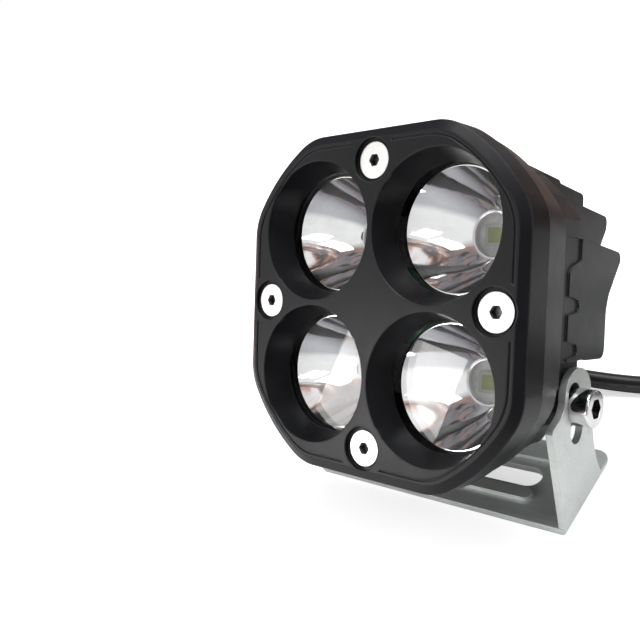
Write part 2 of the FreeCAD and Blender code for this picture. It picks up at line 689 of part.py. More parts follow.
def ear_face():
    """One ear seen from the side, with its curved slot: a closed outline in Y and Z."""
    crown_y, crown_z, crown = 4.75, 23.8, 6.1
    front = -size["base_deep"] / 2

    def on_crown(degrees):
        angle = math.radians(degrees)
        return Vector(0, crown_y + crown * math.cos(angle), crown_z + crown * math.sin(angle))

    shelf = Vector(0, -5.0, 24.4)
    neck, nape = on_crown(158), on_crown(-8)
    back = Part.BSplineCurve()
    heel = Vector(0, 6.6, 1.0)
    back.interpolate([nape, Vector(0, 8.6, 17), Vector(0, 6.8, 12), Vector(0, 5.9, 7), heel])
    edges = [
        Part.LineSegment(Vector(0, front, 0), Vector(0, -8.5, 22.9)).toShape(),
        Part.Arc(Vector(0, -8.5, 22.9), Vector(0, -8.05, 23.9), Vector(0, -7.1, 24.3)).toShape(),
        Part.LineSegment(Vector(0, -7.1, 24.3), shelf).toShape(),
        Part.Arc(shelf, Vector(0, -2.5, 24.9), neck).toShape(),
        Part.Arc(neck, on_crown(75), nape).toShape(),
        back.toShape(),
        Part.LineSegment(heel, Vector(0, heel.y, 0)).toShape(),
        Part.LineSegment(Vector(0, heel.y, 0), Vector(0, front, 0)).toShape(),
    ]
    return Part.Face(Part.Wire(edges))


def slot_face():
    """The ear's slot: a band round an arc, with round ends."""
    centre_y, centre_z = size["slot_centre_back"], size["slot_centre_up"]
    middle, half, sweep = size["slot_radius"], size["slot_wide"] / 2, size["slot_sweep"]

    def at(radius, degrees):
        angle = math.radians(-degrees)
        return Vector(0, centre_y + radius * math.cos(angle), centre_z + radius * math.sin(angle))

    def cap(degrees, beyond):
        centre, angle = at(middle, degrees), math.radians(-degrees - 90 * beyond)
        tip = centre + Vector(0, math.cos(angle), math.sin(angle)) * half
        return Part.Arc(at(middle + half * beyond, degrees), tip, at(middle - half * beyond, degrees)).toShape()

    edges = [
        Part.Arc(at(middle + half, 0), at(middle + half, sweep / 2), at(middle + half, sweep)).toShape(),
        cap(sweep, 1),
        Part.Arc(at(middle - half, sweep), at(middle - half, sweep / 2), at(middle - half, 0)).toShape(),
        cap(0, -1),
    ]
    return Part.Face(Part.Wire(edges))


def stadium(name, place, long, wide, low, tall):
    """An upright prism with round ends, lying along X."""
    straight = f"({long})-({wide})"
    middle = box(
        f"{name}_middle", (f"0-({straight})/2", f"{place}-({wide})/2", low), straight, wide, tall
    )
    ends = [
        rod(f"{name}_end_{i}", (f"{side}*({straight})/2", place, low), f"({wide})/2", tall, UPRIGHT)
        for i, side in enumerate((1, -1))
    ]
    return fuse(name, [middle] + ends)


def make_bracket():
    plate = box(
        "base_plate", ("0-ear_outside", "0-base_deep/2", 0), "2*ear_outside", "base_deep", "steel"
    )

    def rear_corner(edge):
        spot = edge.CenterOfMass
        return edge.Length < 2 and spot.y > size["base_deep"] / 2 - 0.01

    base = rounded("base_rounded", plate, size["base_corner"], rear_corner)
    steel = size["steel"]
    ears = []
    for name, x in (("ear_right", size["ear_outside"] - steel), ("ear_left", -size["ear_outside"])):
        shape = ear_face().cut(slot_face()).extrude(Vector(steel, 0, 0))
        item = feature(name, shape)
        item.Placement = Placement(Vector(x, 0, 0), Rotation())
        ears.append(item)
    ribs = [
        stadium("rib_front_top", "rib_front", "rib_long", "rib_wide", "steel", "rib_tall"),
        stadium("rib_back_top", "rib_back", "rib_long", "rib_wide-0.4", "steel", "rib_tall-0.1"),
    ]
    sheet_metal = fuse("bracket_sheet", [base] + ears + ribs)
    sheet_metal.Refine = True

    def under_ear(edge):
        spot = edge.CenterOfMass
        return spot.z < 0.01 and abs(abs(spot.x) - size["ear_outside"]) < 0.01

    bent = rounded("bracket_bent", sheet_metal, 1.2, under_ear)
    openings = [
        stadium("base_slot", 0, "base_slot_long", "base_slot_wide", 0, "steel"),
        stadium("rib_front_under", "rib_front", "rib_long-1.6", "rib_wide-1.6", 0, "rib_tall"),
        stadium("rib_back_under", "rib_back", "rib_long-1.6", "rib_wide-1.8", 0, "rib_tall"),
    ]
    keep("bracket", cut("bracket", bent, openings))


def make_pivot_bolts():
    """Two socket head bolts, one through each ear into the housing."""
    bolts = []
    for name, side, turn in (("right", 1, RIGHTWARD), ("left", -1, LEFTWARD)):
        at = (f"{side}*(ear_outside-bolt_long)", pivot.y, pivot.z)
        shank = rod(f"bolt_shank_{name}", at, "bolt_radius", "bolt_long+1", turn)
        head_at = (f"{side}*ear_outside", pivot.y, pivot.z)
        head = rod(f"bolt_head_plain_{name}", head_at, "bolt_head_radius", "bolt_head_tall", turn)
        far = size["ear_outside"] + size["bolt_head_tall"] - 0.01

        def rim(edge):
            return abs(edge.CenterOfMass.x) > far and edge.Closed

        head_round = rounded(f"bolt_head_{name}", head, 0.5, rim)
        whole = fuse(f"bolt_whole_{name}", [shank, head_round])
        socket_at = (f"{side}*(ear_outside+bolt_head_tall-2.6)", pivot.y, pivot.z)
        socket = hexagon(f"bolt_socket_{name}", socket_at, "bolt_hex", 3, turn)
        bolts.append(cut(f"bolt_{name}", whole, [socket]))
    group = doc.addObject("Part::Compound", "pivot_bolts")
    group.Links = bolts
    keep("pivot_bolts", group)


# ---- cable and plug


def boot_mouth(back=0.0):
    """The point where the cable leaves the boot, or that far back inside it."""
    return LAMP.multVec(Vector(0, size["boot_end"] - back, -size["gland_below"]))


def make_cable():
    """The lead from the gland to the floor, the run to the put-away turn, and the end to the plug."""
    lie = size["cable_radius"] + 0.05
    mouth = boot_mouth()
    first_run = 8.6
    lead_out = boot_mouth(-first_run)
    joint = (20.6, 36.5, 3.6)
    lead = [tuple(mouth), tuple(lead_out), (4.4, 34.2, 8.0), (12.0, 35.585, 4.835), joint]
    run = [joint, (30.0, 37.5, lie), (41.0, 39.0, lie), (52.5, 39.2, lie)]
    lift = lie + 4.38
    end = [(44.98, 40.53, lift), (51.3, 38.22, lift), (57.2, 36.5, lift), (63.0, 36.1, lift)]
    end.append((size["plug_start"], size["plug_back"], lift))
    for node, points in (("cable_lead", lead), ("power_cable", run), ("cable_end", end)):
        solid, radii, length = tube(points, size["cable_radius"])
        print(node, "length", round(length, 1), "arc radii", [round(r, 1) for r in radii])
        keep(node, feature(node, solid))
    ring = primitive(
        "Torus", "coil_ring", ("coil_right", "coil_back", lie), Radius1="coil_radius", Radius2="cable_radius"
    )
    upper = primitive(
        "Torus", "coil_upper", ("coil_right", "coil_back", lie + 4.38),
        Radius1="coil_radius", Radius2="cable_radius", Angle3=68,
    )
    upper.Placement.Rotation = Rotation(Vector(0, 0, 1), 182)
    keep("cable_coil", fuse("cable_coil", [ring, upper]))


def make_plug():
    """A sealed two-way plug lying on the floor at the end of the cable."""
    side, start, long = size["plug_side"], size["plug_start"], size["plug_long"]
    y, z = size["plug_back"], side / 2
    shell_long = long * 0.62
    shell = box("plug_block", (start, y - side / 2, 0), shell_long, "plug_side", "plug_side")

    def lengthwise(edge):
        return abs(edge.tangentAt(edge.FirstParameter).x) > 0.9

    shell_round = rounded("plug_shell", shell, 2.0, lengthwise)
    nose = rod("plug_nose", (start + shell_long, y, z), side * 0.40, long - shell_long, RIGHTWARD)
    body = fuse("plug_body_whole", [shell_round, nose])
    hollow = rod("plug_hollow", (start + shell_long + 1.5, y, z), side * 0.40 - 1.2, long, RIGHTWARD)
    rear = rod("plug_rear", (start, y, z), 4.2, 5.0, RIGHTWARD)
    keep("plug_body", cut("plug_body", body, [hollow, rear]))
    seal = rod("seal_block", (start, y, z), 4.2, 5.0, RIGHTWARD)
    keep("plug_seal", cut("plug_seal", seal, [rod("seal_bore", (start, y, z), "cable_radius", 3.0, RIGHTWARD)]))
    latch = box("latch_plain", (start + 3, y - 3, side), 14, 6, 1.6)
    keep("plug_latch", rounded("plug_latch", latch, 0.7, lambda edge: edge.CenterOfMass.z > side + 1.5))
    pins = [
        rod(f"plug_pin_{i}", (start + shell_long + 1.5, y + offset, z), 0.9, long - shell_long - 4, RIGHTWARD)
        for i, offset in enumerate((1.9, -1.9))
    ]
    group = doc.addObject("Part::Compound", "plug_pins")
    group.Links = pins
    keep("plug_pins", group)


make_bezel()
make_bezel_screws()
make_lens()
make_gasket()
make_reflectors()
make_light_board()
make_driver()
make_housing()
make_gland()
make_inner_wires()
make_bracket()
make_pivot_bolts()
make_cable()
make_plug()
doc.recompute()

faults = [item.Name for item in doc.Objects if {"Invalid", "Error"} & set(item.State)]
assert not faults, f"failed objects: {faults}"
os.makedirs("parts", exist_ok=True)
for node, item in sub_parts.items():
    shape = item.Shape
    assert not shape.isNull() and shape.isValid() and shape.Solids, f"{node} has no good solid"
    shape.exportStep(f"parts/{node}.step")
    print(node, len(shape.Solids), "solids", round(shape.Volume, 1), "mm3")
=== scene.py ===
"""The looks of a cube fog light with four lamps, standing on its steel bracket, with its sealed-plug lead.

Everything is in metres, +Z up, with the lit face towards -Y. The lamp's own frame has its face in the plane
Y = 0 with Y running backwards, and is tipped up by PITCH about the pivot bolts.
"""

import json
import math

import bmesh
import bpy
import numpy as np
from mathutils import Matrix, Vector


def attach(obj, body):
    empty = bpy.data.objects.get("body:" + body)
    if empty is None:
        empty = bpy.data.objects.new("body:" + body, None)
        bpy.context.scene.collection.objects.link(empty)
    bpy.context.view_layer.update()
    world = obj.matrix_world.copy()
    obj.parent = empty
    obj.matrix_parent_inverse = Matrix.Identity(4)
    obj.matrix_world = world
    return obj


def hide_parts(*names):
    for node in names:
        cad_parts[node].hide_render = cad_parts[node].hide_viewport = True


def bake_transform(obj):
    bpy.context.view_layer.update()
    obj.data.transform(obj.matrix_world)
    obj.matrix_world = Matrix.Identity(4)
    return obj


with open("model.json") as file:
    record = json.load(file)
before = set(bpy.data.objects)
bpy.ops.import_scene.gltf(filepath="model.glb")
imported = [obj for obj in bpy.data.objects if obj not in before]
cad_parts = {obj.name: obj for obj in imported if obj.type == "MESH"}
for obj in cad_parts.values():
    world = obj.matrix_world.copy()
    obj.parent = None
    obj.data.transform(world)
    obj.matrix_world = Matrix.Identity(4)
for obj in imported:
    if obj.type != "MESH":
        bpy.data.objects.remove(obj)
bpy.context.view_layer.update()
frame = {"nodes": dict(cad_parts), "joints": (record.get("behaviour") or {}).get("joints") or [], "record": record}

MM = 0.001
PITCH = math.radians(32)
PIVOT_IN_LAMP = Vector((0, 27.8, -19.7)) * MM
LAMP_PITCH = 33.0 * MM
QUARTERS = {"top_left": (-1, 1), "top_right": (1, 1), "bottom_left": (-1, -1), "bottom_right": (1, -1)}
GLAND_BELOW = 12.0 * MM  # how far the cable gland's axis lies below the face's centre

# ---------------------------------------------------------------- camera


def make_camera():
    """The camera, in front of the lit face, above it and to its right, and rolled."""
    data = bpy.data.cameras.new("camera")
    data.lens, data.sensor_width = 42.29, 36.0
    data.clip_start, data.clip_end = 0.01, 20.0
    camera = bpy.data.objects.new("camera", data)
    camera.location = (0.10568, -0.11315, 0.12271)
    camera.rotation_euler = [math.radians(a) for a in (63.555, 19.867, 40.206)]
    bpy.context.scene.collection.objects.link(camera)
    bpy.context.scene.camera = camera


make_camera()

# ---------------------------------------------------------------- helpers for meshes


def lamp_matrix():
    """The lamp frame's place: tipped by PITCH, with its pivot axis on the tilt joint's."""
    tilt = next(joint for joint in frame["joints"] if joint["name"] == "head_tilt")
    turn = Matrix.Rotation(-PITCH, 4, "X")
    return Matrix.Translation(Vector(tilt["pos_m"]) - turn @ PIVOT_IN_LAMP) @ turn


LAMP = lamp_matrix()


def moved(points, matrix):
    """The points, an array (..., 3), after a 4 by 4 matrix."""
    place = np.array(matrix)
    return np.asarray(points) @ place[:3, :3].T + place[:3, 3]


def grid_faces(rows, columns, wrap_rows=False, wrap_columns=False):
    """Quads between neighbours of a grid of rows by columns vertices, numbered row by row."""
    r = np.arange(rows if wrap_rows else rows - 1)[:, None]
    c = np.arange(columns if wrap_columns else columns - 1)[None, :]
    r_next, c_next = (r + 1) % rows, (c + 1) % columns
    corners = [r * columns + c, r * columns + c_next, r_next * columns + c_next, r_next * columns + c]
    return np.stack([np.broadcast_to(k, (r.size, c.size)).ravel() for k in corners], 1)


def make_object(name, vertices, faces):
    """An object from an array of vertices and a list of faces, each a sequence of vertex numbers."""
    mesh = bpy.data.meshes.new(name)
    mesh.from_pydata(np.asarray(vertices).tolist(), [], [list(map(int, face)) for face in faces])
    mesh.polygons.foreach_set("use_smooth", np.full(len(mesh.polygons), True))
    mesh.validate()
    mesh.update()
    piece = bpy.data.objects.new(name, mesh)
    bpy.context.scene.collection.objects.link(piece)
    return piece


def turned_parts(profile, centre, sides):
    """A closed profile of (radius, depth) pairs swept round an axis through centre along the lamp's Y.

    Vertex (i, j) is centre + (r_i cos a_j, depth_i, r_i sin a_j), with a_j spread evenly over a turn.
    """
    profile = np.asarray(profile, float)
    angle = np.arange(sides) * (2 * math.pi / sides)
    x = profile[:, :1] * np.cos(angle) + centre[0]
    z = profile[:, :1] * np.sin(angle) + centre[2]
    y = np.broadcast_to(profile[:, 1:] + centre[1], x.shape)
    vertices = moved(np.stack([x, y, z], -1).reshape(-1, 3), LAMP)
    return vertices, grid_faces(len(profile), sides, wrap_rows=True, wrap_columns=True).tolist()


def fix_normals(piece):
    """Turns a closed shell's faces outwards."""
    shell = bmesh.new()
    shell.from_mesh(piece.data)
    bmesh.ops.recalc_face_normals(shell, faces=shell.faces)
    shell.to_mesh(piece.data)
    shell.free()


def sharpen(piece, degrees=35):
    """Keeps edges that bend by more than this sharp under smooth shading."""
    piece.data.set_sharp_from_angle(angle=math.radians(degrees))


# ---------------------------------------------------------------- cords

CABLE = 4.4 * MM  # the cable's diameter
# The routes below are in millimetres.
LIE = 2.25  # height of the cable's middle where it lies on the floor
LIFT = LIE + 4.38  # the same where it lies on another stretch
COIL_CENTRE = (52.5, 61.2)
COIL_RADIUS = 22.0
COIL_STEP = 24  # degrees between two control points of the turn
CLIMB = (140, 225)  # degrees at which the turn leaves the floor, and at which it has climbed
BOOT_END = 46.5  # depth of the gland boot's mouth in the lamp
FIRST_RUN = 8.6  # straight stretch out of that mouth


def along_gland(depth):
    """A point on the gland's axis, this deep in the lamp, in millimetres of the object's frame."""
    return tuple(x / MM for x in LAMP @ Vector((0, depth * MM, -GLAND_BELOW)))


def coil_points():
    """The put-away turn: once round and on to the plug's side, climbing onto its own first stretch.

    Its points stand a little outside the turn's circle, because the spline passes inside them.
    Its height is a smooth step, t t (3 - 2 t), from the floor to about one diameter up, where t goes
    from 0 to 1 over CLIMB.
    """
    degrees = np.arange(-90 + COIL_STEP, 241, COIL_STEP)
    climb = np.clip((degrees - CLIMB[0]) / (CLIMB[1] - CLIMB[0]), 0, 1)
    height = LIE + (LIFT - LIE) * climb * climb * (3 - 2 * climb)
    angle, reach = np.radians(degrees), COIL_RADIUS * 1.02
    x, y = COIL_CENTRE[0] + reach * np.cos(angle), COIL_CENTRE[1] + reach * np.sin(angle)
    return [tuple(p) for p in np.stack([x, y, height], 1)]


JOINT = (20.6, 36.5, 3.6)
TURN_START = (52.5, 39.2, LIE)
LEAD = [
    along_gland(BOOT_END), along_gland(BOOT_END + FIRST_RUN), (4.4, 34.2, 8.0), (12.0, 35.585, 4.835), JOINT
]
RUN = [JOINT, (30.0, 37.5, LIE), (41.0, 39.0, LIE), TURN_START]
PLUG_END = [
    (44.98, 40.53, LIFT), (51.3, 38.22, LIFT), (57.2, 36.5, LIFT), (63.0, 36.1, LIFT), (69.0, 36.2, LIFT)
]
TURN = [TURN_START, (57.3, 39.25, LIE), *coil_points(), *PLUG_END]


def line_along(points):
    """Points along one NURBS spline of order 3 that has the route's points as its control points."""
    curve = bpy.data.curves.new("route", "CURVE")
    curve.dimensions = "3D"
    spline = curve.splines.new("NURBS")
    spline.points.add(len(points) - 1)
    homogeneous = np.c_[np.asarray(points) * MM, np.ones(len(points))]
    spline.points.foreach_set("co", homogeneous.ravel())
    spline.order_u = 3
    spline.use_endpoint_u = True
    spline.resolution_u = 14
    holder = bpy.data.objects.new("route", curve)
    bpy.context.scene.collection.objects.link(holder)
    mesh = bpy.data.meshes.new_from_object(holder)
    line = np.empty(len(mesh.vertices) * 3)
    mesh.vertices.foreach_get("co", line)
    bpy.data.objects.remove(holder)
    bpy.data.meshes.remove(mesh)
    return line.reshape(-1, 3)


def tube_along(name, line, radius):
    """A round tube: at each point of the line, a circle across its direction, with a cap at each end.

    The circle's first axis is level, the direction crossed with +Z, and its second completes the frame.
    """
    ahead = np.gradient(line, axis=0)
    ahead /= np.linalg.norm(ahead, axis=1, keepdims=True)
    level = np.cross(ahead, (0.0, 0.0, 1.0))
    level /= np.linalg.norm(level, axis=1, keepdims=True)
    rising = np.cross(level, ahead)
    sides = 28
    angle = np.arange(sides) * (2 * math.pi / sides)
    ring = level[:, None] * np.cos(angle)[:, None] + rising[:, None] * np.sin(angle)[:, None]
    vertices = (line[:, None] + radius * ring).reshape(-1, 3)
    faces = grid_faces(len(line), sides, wrap_columns=True).tolist()
    faces += [list(range(sides))[::-1], list(range(len(vertices) - sides, len(vertices)))]
    tube = make_object(name, vertices, faces)
    fix_normals(tube)
    sharpen(tube)
    return tube


def make_cords():
    """The lead down from the gland, the run along the floor, and the put-away turn to the plug."""
    names = ("lead", "run", "turn")
    lines = [line_along(points) for points in (LEAD, RUN, TURN)]
    lead, run, turn = [tube_along(name, line, CABLE / 2) for name, line in zip(names, lines)]
    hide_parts("cable_lead")
    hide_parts("power_cable")
    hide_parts("cable_coil", "cable_end")
    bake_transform(lead)
    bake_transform(run)
    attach(turn, "bracket")
    return lead, run, turn


cords = make_cords()

# ---------------------------------------------------------------- shared material effects


def new_group(name, inputs, outputs):
    """An empty shader node group. inputs holds (name, kind, value), and outputs holds (name, kind)."""
    group = bpy.data.node_groups.new(name, "ShaderNodeTree")
    for socket, kind, value in inputs:
        made = group.interface.new_socket(name=socket, in_out="INPUT", socket_type="NodeSocket" + kind)
        if value is not None:
            made.default_value = value
    for socket, kind in outputs:
        group.interface.new_socket(name=socket, in_out="OUTPUT", socket_type="NodeSocket" + kind)
    return group, group.nodes.new("NodeGroupInput"), group.nodes.new("NodeGroupOutput")


def add(tree, kind, links=None, **settings):
    """A node with its settings, whose inputs are linked from sockets or set to values."""
    node = tree.nodes.new("ShaderNode" + kind)
    for key, value in settings.items():
        setattr(node, key, value)
    for key, value in (links or {}).items():
        if isinstance(value, bpy.types.NodeSocket):
            tree.links.new(value, node.inputs[key])
        else:
            node.inputs[key].default_value = value
    return node


def math_of(tree, operation, a, b, clamp=False):
    """A sum, product or difference of two values."""
    return add(tree, "Math", {0: a, 1: b}, operation=operation, use_clamp=clamp).outputs[0]


def mix_colours(tree, factor, first, second):
    """The first colour at factor 0, and the second at factor 1."""
    node = add(tree, "Mix", {0: factor, 6: first, 7: second}, data_type="RGBA")
    return node.outputs[2]


def spread(tree, value, low, high, to_low=0.0, to_high=1.0):
    """The value moved from the span low to high onto the span to_low to to_high, and held there."""
    node = add(tree, "MapRange", {0: value, 1: low, 2: high, 3: to_low, 4: to_high}, clamp=True)
    return node.outputs[0]


def coat_group():
    """Powder coat: a fine stipple, a slow change of tone, and specks of dust.

    The height is a fine noise plus 0.7 of a coarse one. The fine one lifts the tone a little too.
    """
    group, given, out = new_group(
        "powder_coat",
        [("Vector", "Vector", None), ("Base", "Color", (0.02, 0.02, 0.02, 1)), ("Stipple", "Float", 900.0),
         ("Gloss", "Float", 0.4), ("Dust", "Float", 0.3)],
        [("Color", "Color"), ("Roughness", "Float"), ("Height", "Float")],
    )
    place = given.outputs["Vector"]
    fine = add(group, "TexNoise", {"Vector": place, "Scale": given.outputs["Stipple"], "Detail": 2.0})
    coarse = add(group, "TexNoise", {"Vector": place, "Scale": 260.0, "Detail": 3.0})
    slow = add(group, "TexNoise", {"Vector": place, "Scale": 28.0, "Detail": 4.0, "Roughness": 0.6})
    specks = add(group, "TexVoronoi", {"Vector": place, "Scale": 620.0, "Randomness": 1.0})
    dots = spread(group, specks.outputs["Distance"], 0.0, 0.11, 1.0, 0.0)
    patchy = spread(group, slow.outputs[0], 0.5, 0.72)
    dust = math_of(group, "MULTIPLY", math_of(group, "MULTIPLY", dots, patchy), given.outputs["Dust"])
    tone = spread(group, slow.outputs[0], 0.3, 0.7, 0.84, 1.2)
    grain = spread(group, fine.outputs[0], 0.3, 0.7, 0.9, 1.12)
    lit = math_of(group, "MULTIPLY", tone, grain)
    shaded = add(group, "VectorMath", {0: given.outputs["Base"], "Scale": lit}, operation="SCALE")
    colour = mix_colours(group, dust, shaded.outputs[0], (0.3, 0.3, 0.29, 1))
    uneven = spread(group, coarse.outputs[0], 0.3, 0.7, -0.025, 0.03)
    rough = math_of(group, "ADD", given.outputs["Gloss"], uneven)
    rough = math_of(group, "ADD", rough, math_of(group, "MULTIPLY", dust, 0.3), clamp=True)
    height = math_of(group, "ADD", fine.outputs[0], math_of(group, "MULTIPLY", coarse.outputs[0], 0.7))
    group.links.new(colour, out.inputs["Color"])
    group.links.new(rough, out.inputs["Roughness"])
    group.links.new(height, out.inputs["Height"])
    return group


def edge_group():
    """Softened edges: a bevelled normal, and a mask of where it leaves the flat one."""
    group, given, out = new_group(
        "soft_edges", [("Radius", "Float", 0.0003)], [("Normal", "Vector"), ("Mask", "Float")]
    )
    bevel = add(group, "Bevel", {"Radius": given.outputs["Radius"]}, samples=4)
    flat = add(group, "NewGeometry")
    meet = add(
        group, "VectorMath", {0: bevel.outputs[0], 1: flat.outputs["True Normal"]}, operation="DOT_PRODUCT"
    )
    group.links.new(bevel.outputs[0], out.inputs["Normal"])
    group.links.new(spread(group, meet.outputs["Value"], 0.99, 0.8), out.inputs["Mask"])
    return group


def metal_group():
    """Worked metal: fine lines along one axis, handling marks, and a slow change of tone."""
    group, given, out = new_group(
        "worked_metal",
        [("Vector", "Vector", None), ("Base", "Color", (0.7, 0.7, 0.7, 1)),
         ("Lines", "Vector", (400, 30, 400)), ("Gloss", "Float", 0.3), ("Marks", "Float", 0.4)],
        [("Color", "Color"), ("Roughness", "Float"), ("Height", "Float")],
    )
    place = given.outputs["Vector"]
    stretched = add(group, "VectorMath", {0: place, 1: given.outputs["Lines"]}, operation="MULTIPLY")
    lines = add(
        group, "TexNoise", {"Vector": stretched.outputs[0], "Scale": 3.0, "Detail": 3.0, "Roughness": 0.65}
    )
    slow = add(group, "TexNoise", {"Vector": place, "Scale": 60.0, "Detail": 4.0, "Roughness": 0.62})
    stains = add(
        group, "TexNoise",
        {"Vector": place, "Scale": 190.0, "Detail": 5.0, "Roughness": 0.7, "Distortion": 0.6}
    )
    marks = math_of(group, "MULTIPLY", spread(group, stains.outputs[0], 0.56, 0.72), given.outputs["Marks"])
    tone = spread(group, slow.outputs[0], 0.3, 0.7, 0.9, 1.06)
    grain = spread(group, lines.outputs[0], 0.3, 0.7, 0.94, 1.05)
    dulled = math_of(group, "SUBTRACT", 1.0, math_of(group, "MULTIPLY", marks, 0.25))
    lit = math_of(group, "MULTIPLY", math_of(group, "MULTIPLY", tone, grain), dulled)
    shaded = add(group, "VectorMath", {0: given.outputs["Base"], "Scale": lit}, operation="SCALE")
    uneven = spread(group, lines.outputs[0], 0.3, 0.7, -0.05, 0.08)
    rough = math_of(group, "ADD", given.outputs["Gloss"], uneven)
    rough = math_of(group, "ADD", rough, math_of(group, "MULTIPLY", marks, 0.16), clamp=True)
    group.links.new(shaded.outputs[0], out.inputs["Color"])
    group.links.new(rough, out.inputs["Roughness"])
    group.links.new(lines.outputs[0], out.inputs["Height"])
    return group


COAT, EDGES, METAL = coat_group(), edge_group(), metal_group()


def new_material(name):
    """A material with an empty Principled shader: its tree, the shader and Object coordinates."""
    material = bpy.data.materials.new(name)
    material.use_nodes = True
    tree = material.node_tree
    shader = tree.nodes["Principled BSDF"]
    place = add(tree, "TexCoord").outputs["Object"]
    return material, tree, shader, place


def bump_into(tree, shader, height, depth, strength, normal=None):
    """Feeds the shader's normal from a bump of this depth, on top of another normal if one is given."""
    links = {"Height": height, "Distance": depth, "Strength": strength}
    if normal is not None:
        links["Normal"] = normal
    tree.links.new(add(tree, "Bump", links).outputs[0], shader.inputs["Normal"])


def coated(
    name, base, gloss, stipple=900.0, dust=0.3, edge=0.0003, edge_wear_and_highlight_tone=(0.09, 0.095, 0.095, 1), shine=0.4,
    depth=0.00002
):
    """A moulded or powder-coated surface, with softened edges whose colour is lightened, partly as wear and partly
    as a painted highlight.
    """
    material, tree, shader, place = new_material(name)
    links = {"Vector": place, "Base": (*base, 1), "Stipple": stipple, "Gloss": gloss, "Dust": dust}
    coat = add(tree, "Group", links, node_tree=COAT)
    edges = add(tree, "Group", {"Radius": edge}, node_tree=EDGES)
    # Edge colour: partly wear, partly a painted highlight along the softened edges.
    worn_and_lit_edge = math_of(tree, "MULTIPLY", edges.outputs["Mask"], 0.8)
    tree.links.new(mix_colours(tree, worn_and_lit_edge, coat.outputs["Color"], edge_wear_and_highlight_tone), shader.inputs["Base Color"])
    tree.links.new(coat.outputs["Roughness"], shader.inputs["Roughness"])
    shader.inputs["Specular IOR Level"].default_value = shine
    bump_into(tree, shader, coat.outputs["Height"], depth, 0.5, edges.outputs["Normal"])
    return material


METAL_EDGE = 0.0002


def metal(name, base, gloss, lines=(400, 30, 400), marks=0.4, depth=0.000008, recess_shade=0.0, metallic=1.0):
    """Bare or plated metal, with softened edges lightened partly as wear and partly as a painted highlight, and
    painted shade darkening its recesses, found by ambient occlusion over about the given distance.
    """
    material, tree, shader, place = new_material(name)
    links = {"Vector": place, "Base": (*base, 1), "Lines": lines, "Gloss": gloss, "Marks": marks}
    worked = add(tree, "Group", links, node_tree=METAL)
    edges = add(tree, "Group", {"Radius": METAL_EDGE}, node_tree=EDGES)
    bright = tuple(min(1.0, c * 1.15) for c in base)
    # Edge colour: partly wear, partly a painted highlight along the softened edges.
    worn_and_lit_edge = math_of(tree, "MULTIPLY", edges.outputs["Mask"], 0.6)
    tone = mix_colours(tree, worn_and_lit_edge, worked.outputs["Color"], (*bright, 1))
    if recess_shade:
        # Painted shade: where ambient occlusion finds a recess, the colour is darkened towards near black.
        open_to_air = add(tree, "AmbientOcclusion", {"Distance": recess_shade}, samples=6).outputs["AO"]
        tone = mix_colours(tree, spread(tree, open_to_air, 0.36, 0.7), (0.012, 0.01, 0.008, 1), tone)
    tree.links.new(tone, shader.inputs["Base Color"])
    tree.links.new(worked.outputs["Roughness"], shader.inputs["Roughness"])
    shader.inputs["Metallic"].default_value = metallic
    bump_into(tree, shader, worked.outputs["Height"], depth, 0.5, edges.outputs["Normal"])
    return material


def clear_lens():
    """Clear polycarbonate with the faintest smears."""
    material, tree, shader, place = new_material("clear_lens")
    shader.inputs["Base Color"].default_value = (0.98, 0.99, 0.99, 1)
    shader.inputs["Transmission Weight"].default_value = 1.0
    shader.inputs["IOR"].default_value = 1.3
    smear = add(tree, "TexNoise", {"Vector": place, "Scale": 45.0, "Detail": 5.0, "Roughness": 0.7})
    tree.links.new(spread(tree, smear.outputs[0], 0.45, 0.75, 0.0, 0.035), shader.inputs["Roughness"])
    return material


def mirror():
    """Vacuum metallised plastic: bright, with a slight orange peel."""
    material, tree, shader, place = new_material("reflector_mirror")
    shader.inputs["Metallic"].default_value = 1.0
    peel = add(tree, "TexNoise", {"Vector": place, "Scale": 210.0, "Detail": 3.0})
    haze = add(tree, "TexNoise", {"Vector": place, "Scale": 90.0, "Detail": 5.0, "Roughness": 0.7})
    hazy = spread(tree, haze.outputs[0], 0.35, 0.75)
    tone = mix_colours(tree, hazy, (0.93, 0.93, 0.935, 1), (0.84, 0.83, 0.83, 1))
    tree.links.new(tone, shader.inputs["Base Color"])
    tree.links.new(spread(tree, haze.outputs[0], 0.4, 0.75, 0.03, 0.1), shader.inputs["Roughness"])
    bump_into(tree, shader, peel.outputs[0], 0.00006, 0.35)
    return material


def diode_surface(name, base):
    """A light diode's surface, speckled with phosphor grains."""
    material, tree, shader, place = new_material(name)
    grains = add(tree, "TexVoronoi", {"Vector": place, "Scale": 5200.0})
    tone = spread(tree, grains.outputs["Distance"], 0.0, 0.7, 1.1, 0.75)
    shaded = add(tree, "VectorMath", {0: base, "Scale": tone}, operation="SCALE")
    tree.links.new(shaded.outputs[0], shader.inputs["Base Color"])
    shader.inputs["Roughness"].default_value = 0.35
    bump_into(tree, shader, grains.outputs["Distance"], 0.00002, 0.4)
    return material


